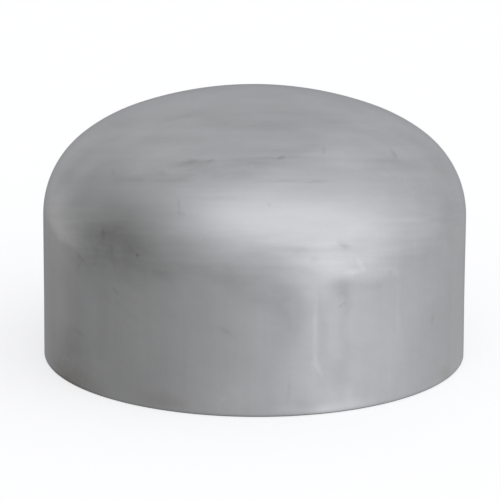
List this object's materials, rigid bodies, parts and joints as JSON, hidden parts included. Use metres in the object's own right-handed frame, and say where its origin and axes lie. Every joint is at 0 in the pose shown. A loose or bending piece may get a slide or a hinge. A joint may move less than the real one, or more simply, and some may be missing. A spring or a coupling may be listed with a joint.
{
  "type": "pipe cap",
  "caption": "Butt-weld end cap for a DN 50 pipe: a dished stainless steel shell with a straight skirt and a square-cut rim that is welded to the pipe's end.",
  "frame": {"origin": "centre of the rim plane, where the cap meets the pipe", "axes": "+Z along the axis of revolution, from the rim towards the crown; X and Y lie in the rim plane and are interchangeable"},
  "size_m": [0.0603, 0.0602, 0.038],
  "materials": {
    "stainless_steel": "satin, lightly brushed around the axis"
  },
  "bodies": {
    "root": {"cap_shell": "stainless_steel"}
  },
  "joints": []
}
